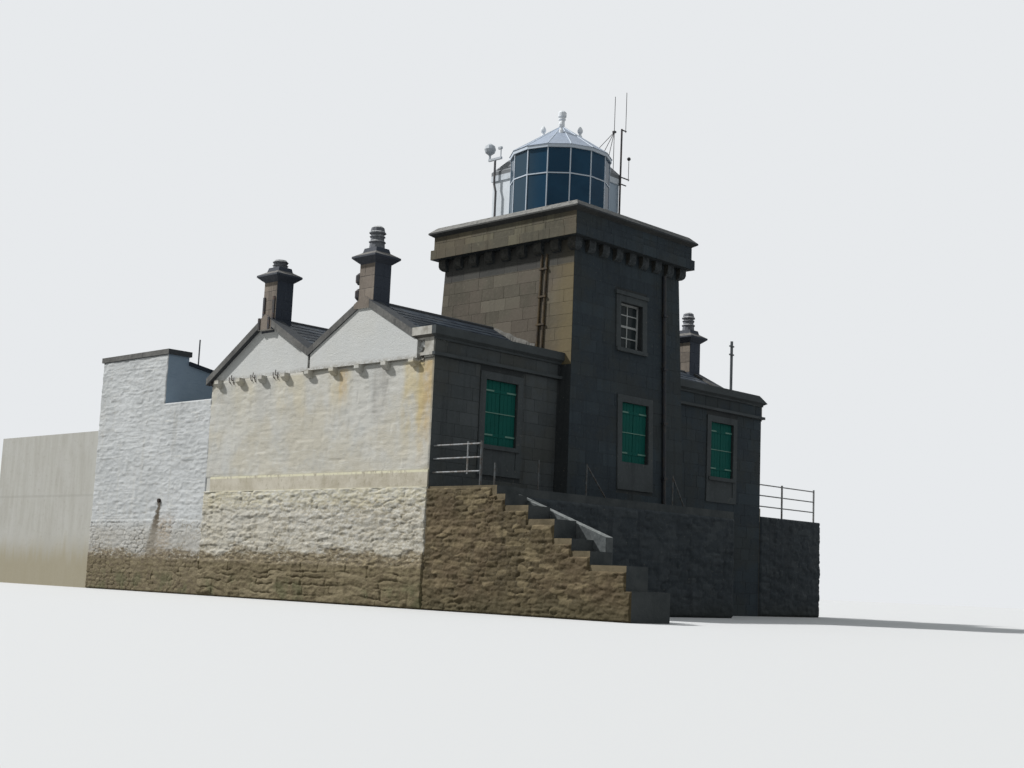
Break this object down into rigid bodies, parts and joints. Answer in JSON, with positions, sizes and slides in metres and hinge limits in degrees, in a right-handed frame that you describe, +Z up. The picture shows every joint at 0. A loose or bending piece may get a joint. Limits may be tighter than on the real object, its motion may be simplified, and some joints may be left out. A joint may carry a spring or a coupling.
{
  "type": "lighthouse",
  "caption": "Square stone lighthouse with a corbelled parapet and a glazed many-sided lantern, set in a low keepers' dwelling with gables, yard wall and sea steps",
  "frame": {"origin": "on the tower's axis at the level of the lowest footing", "axes": "X runs along the front wall to the right, Y runs back from the seaward front, Z is up"},
  "size_m": [18.34, 29.08, 16.13],
  "materials": {
    "tower_stone": "rough, weathered",
    "dwelling_stone": "rough, weathered",
    "coping_stone": "rough, weathered",
    "white_render": "rough, weathered",
    "rubble_stone": "rough, weathered",
    "concrete": "rough, weathered",
    "slate": "rough, weathered",
    "white_metal": "satin",
    "dark_metal": "weathered",
    "green_paint": "painted, satin",
    "white_wood": "painted",
    "glass": "dark behind"
  },
  "bodies": {
    "root": {"tower_wall_front": "tower_stone", "tower_wall_rear": "tower_stone", "tower_wall_left": "tower_stone", "tower_wall_right": "tower_stone", "tower_corbels": "tower_stone", "tower_parapet": "tower_stone", "tower_deck": "tower_stone", "tower_floors": "tower_stone", "tower_coping": "coping_stone", "verge_copings": "coping_stone", "yard_coping": "coping_stone", "chimney_pots": "coping_stone", "step_treads": "coping_stone", "window_surrounds": "coping_stone", "front_walls": "dwelling_stone", "cornice": "dwelling_stone", "string_courses": "dwelling_stone", "chimneys": "dwelling_stone", "gable_corbels": "dwelling_stone", "terrace_floor": "dwelling_stone", "gable_walls": "white_render", "gable_facings": "white_render", "rear_wall": "white_render", "yard_wall_low": "white_render", "yard_wall_high": "white_render", "outbuilding_end_walls": "white_render", "outbuilding_side_wall": "white_render", "lantern_base": "white_render", "stair_hut_walls": "white_render", "terrace_front_wall": "rubble_stone", "terrace_end_walls": "rubble_stone", "step_wall": "rubble_stone", "right_wall": "rubble_stone", "boundary_wall": "concrete", "step_kerb": "concrete", "ground_floor": "concrete", "front_roof": "slate", "rear_roof": "slate", "outbuilding_roof": "slate", "lantern_frame": "white_metal", "lantern_roof": "white_metal", "roof_vent": "white_metal", "ball_finials": "white_metal", "stair_hut_roof": "white_metal", "camera_mast": "white_metal", "aerial_mast": "dark_metal", "downpipes": "dark_metal", "roof_poles": "dark_metal", "railings": "dark_metal", "window_shutters": "green_paint", "rear_door": "green_paint", "sash_window": "white_wood", "window_glass": "glass"}
  },
  "joints": []
}
